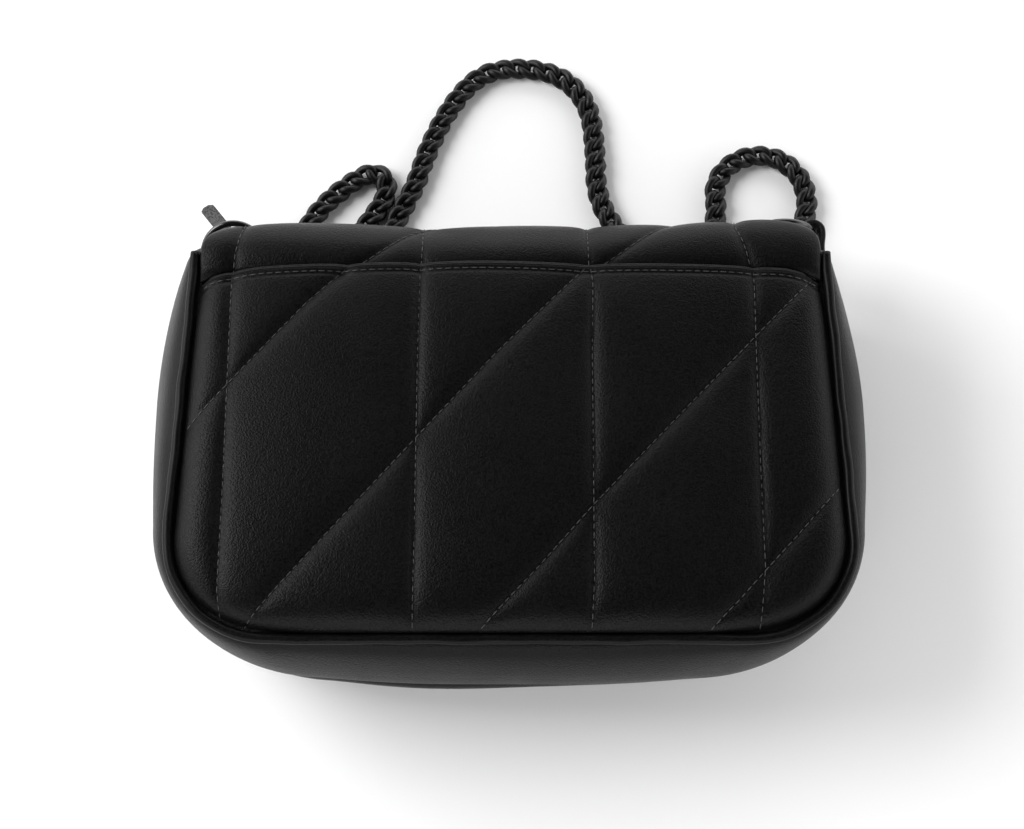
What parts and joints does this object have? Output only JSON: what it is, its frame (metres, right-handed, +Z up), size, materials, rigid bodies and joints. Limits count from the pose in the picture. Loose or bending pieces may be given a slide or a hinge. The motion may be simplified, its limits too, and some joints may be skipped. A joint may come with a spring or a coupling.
{
  "type": "crossbody purse",
  "caption": "Quilted leather flap bag lying on its flap, with piped edges, a swelling gusset, strap rings, a zip under the flap and a curb-chain strap on the floor.",
  "frame": {"origin": "on the floor, on the outer face of the flap that the bag lies on, below the middle of the bag", "axes": "+Z up out of the back panel, +Y towards the mouth of the bag and the chain, +X along the bag's width to the right as seen from behind the bag"},
  "size_m": [0.253, 0.2637, 0.0702],
  "materials": {
    "leather_black": "satin",
    "padding": "matt",
    "lining_fabric": "matt",
    "zip_tape_fabric": "matt",
    "black_metal": "gloss",
    "chain_metal": "satin",
    "zip_metal": "satin",
    "pull_leather": "matt",
    "board": "matt"
  },
  "bodies": {
    "bag": {"back_panel": "leather_black", "back_padding": "padding", "back_piping": "leather_black", "back_interlining": "lining_fabric", "front_panel": "leather_black", "front_padding": "padding", "front_piping": "leather_black", "front_interlining": "lining_fabric", "gusset": "leather_black", "lining": "lining_fabric", "base_board": "board", "inner_pocket": "lining_fabric", "mouth_facing_front": "leather_black", "mouth_facing_back": "leather_black", "zip_tape_front": "zip_tape_fabric", "zip_tape_back": "zip_tape_fabric", "zip_teeth": "zip_metal", "zip_end_stop": "zip_metal", "left_ring_tab": "leather_black", "right_ring_tab": "leather_black", "snap_socket": "black_metal", "snap_socket_washer": "black_metal", "chain_strap": "chain_metal", "chain_end_link_left": "chain_metal", "chain_end_link_right": "chain_metal"},
    "flap": {"flap_outer": "leather_black", "flap_padding": "padding", "flap_lining": "leather_black", "flap_binding": "leather_black", "snap_stud": "black_metal", "snap_stud_washer": "black_metal"},
    "zip_slider_body": {"zip_slider": "zip_metal"},
    "puller": {"puller_link": "zip_metal", "puller_tab": "pull_leather"},
    "left_strap_ring": {"left_ring": "black_metal"},
    "right_strap_ring": {"right_ring": "black_metal"}
  },
  "joints": [
    {"name": "flap_hinge", "type": "hinge", "parent": "bag", "child": "flap", "pos_m": [0, 0.0534, 0.0705], "axis": [1, 0, 0], "range_deg": [0, 150], "deforming": ["chain_strap", "chain_end_link_left", "chain_end_link_right"]},
    {"name": "zip_slide", "type": "slide", "parent": "bag", "child": "zip_slider_body", "axis": [1, 0, 0], "range_m": [0, 0.186], "deforming": ["zip_tape_front", "zip_tape_back", "zip_teeth", "puller_tab"]},
    {"name": "puller_swing", "type": "hinge", "parent": "zip_slider_body", "child": "puller", "pos_m": [-0.0985, 0.0672, 0.0365], "axis": [1, 0, 0], "range_deg": [-20, 4]},
    {"name": "left_ring_swing", "type": "hinge", "parent": "bag", "child": "left_strap_ring", "pos_m": [-0.11394, 0.07659, 0.0168], "axis": [-0.5736, 0.6275, 0.5265], "range_deg": [0, 35]},
    {"name": "right_ring_swing", "type": "hinge", "parent": "bag", "child": "right_strap_ring", "pos_m": [0.112, 0.082, 0.036], "axis": [0, 0, -1], "range_deg": [0, 70]}
  ]
}
